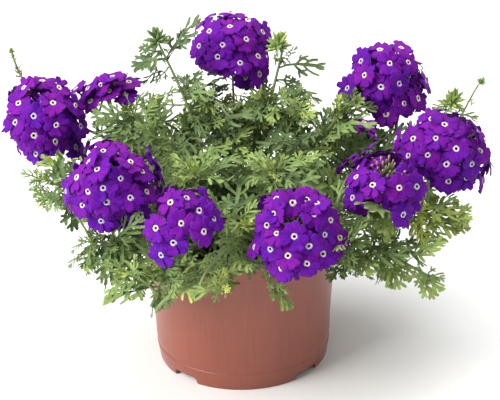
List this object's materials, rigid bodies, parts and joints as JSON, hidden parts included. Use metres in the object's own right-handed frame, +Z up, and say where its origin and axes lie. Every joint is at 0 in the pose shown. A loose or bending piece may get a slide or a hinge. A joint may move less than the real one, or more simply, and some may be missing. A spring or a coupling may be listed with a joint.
{
  "type": "potted verbena",
  "caption": "Garden verbena with domed violet flower heads and finely cut leaves, growing in a round terracotta-coloured plastic pot that stands on notched feet.",
  "frame": {"origin": "on the pot's axis, at the surface the pot stands on; the plant spreads evenly round it", "axes": "+Z up, +X to the right along the plant's widest spread, -Y towards the front"},
  "size_m": [0.3323, 0.2599, 0.2333],
  "materials": {
    "pot_plastic": "satin injection-moulded plastic",
    "compost": "loose fibrous potting compost",
    "violet_petals": "velvety petals",
    "foliage": "finely downy leaves and stems"
  },
  "bodies": {
    "root": {"pot": "pot_plastic", "soil": "compost", "flower_head_1": "violet_petals", "flower_head_2": "violet_petals", "flower_head_3": "violet_petals", "flower_head_4": "violet_petals", "flower_head_5": "violet_petals", "flower_head_6": "violet_petals", "flower_head_7": "violet_petals", "flower_head_8": "violet_petals", "flower_head_9": "violet_petals", "flower_head_10": "violet_petals", "flower_head_11": "violet_petals", "flower_head_12": "violet_petals", "flower_stem_1": "foliage", "flower_stem_2": "foliage", "flower_stem_3": "foliage", "flower_stem_4": "foliage", "flower_stem_5": "foliage", "flower_stem_6": "foliage", "flower_stem_7": "foliage", "flower_stem_8": "foliage", "flower_stem_9": "foliage", "flower_stem_10": "foliage", "flower_stem_11": "foliage", "flower_stem_12": "foliage", "leafy_shoot_1": "foliage", "leafy_shoot_2": "foliage", "leafy_shoot_3": "foliage", "leafy_shoot_4": "foliage", "leafy_shoot_5": "foliage", "leafy_shoot_6": "foliage", "leafy_shoot_7": "foliage", "leafy_shoot_8": "foliage", "leafy_shoot_9": "foliage", "leafy_shoot_10": "foliage", "leafy_shoot_11": "foliage", "leafy_shoot_12": "foliage", "leafy_shoot_13": "foliage", "leafy_shoot_14": "foliage", "leafy_shoot_15": "foliage", "leafy_shoot_16": "foliage", "leafy_shoot_17": "foliage", "leafy_shoot_18": "foliage", "leafy_shoot_19": "foliage", "leafy_shoot_20": "foliage", "leafy_shoot_21": "foliage", "leafy_shoot_22": "foliage", "leafy_shoot_23": "foliage"}
  },
  "joints": []
}
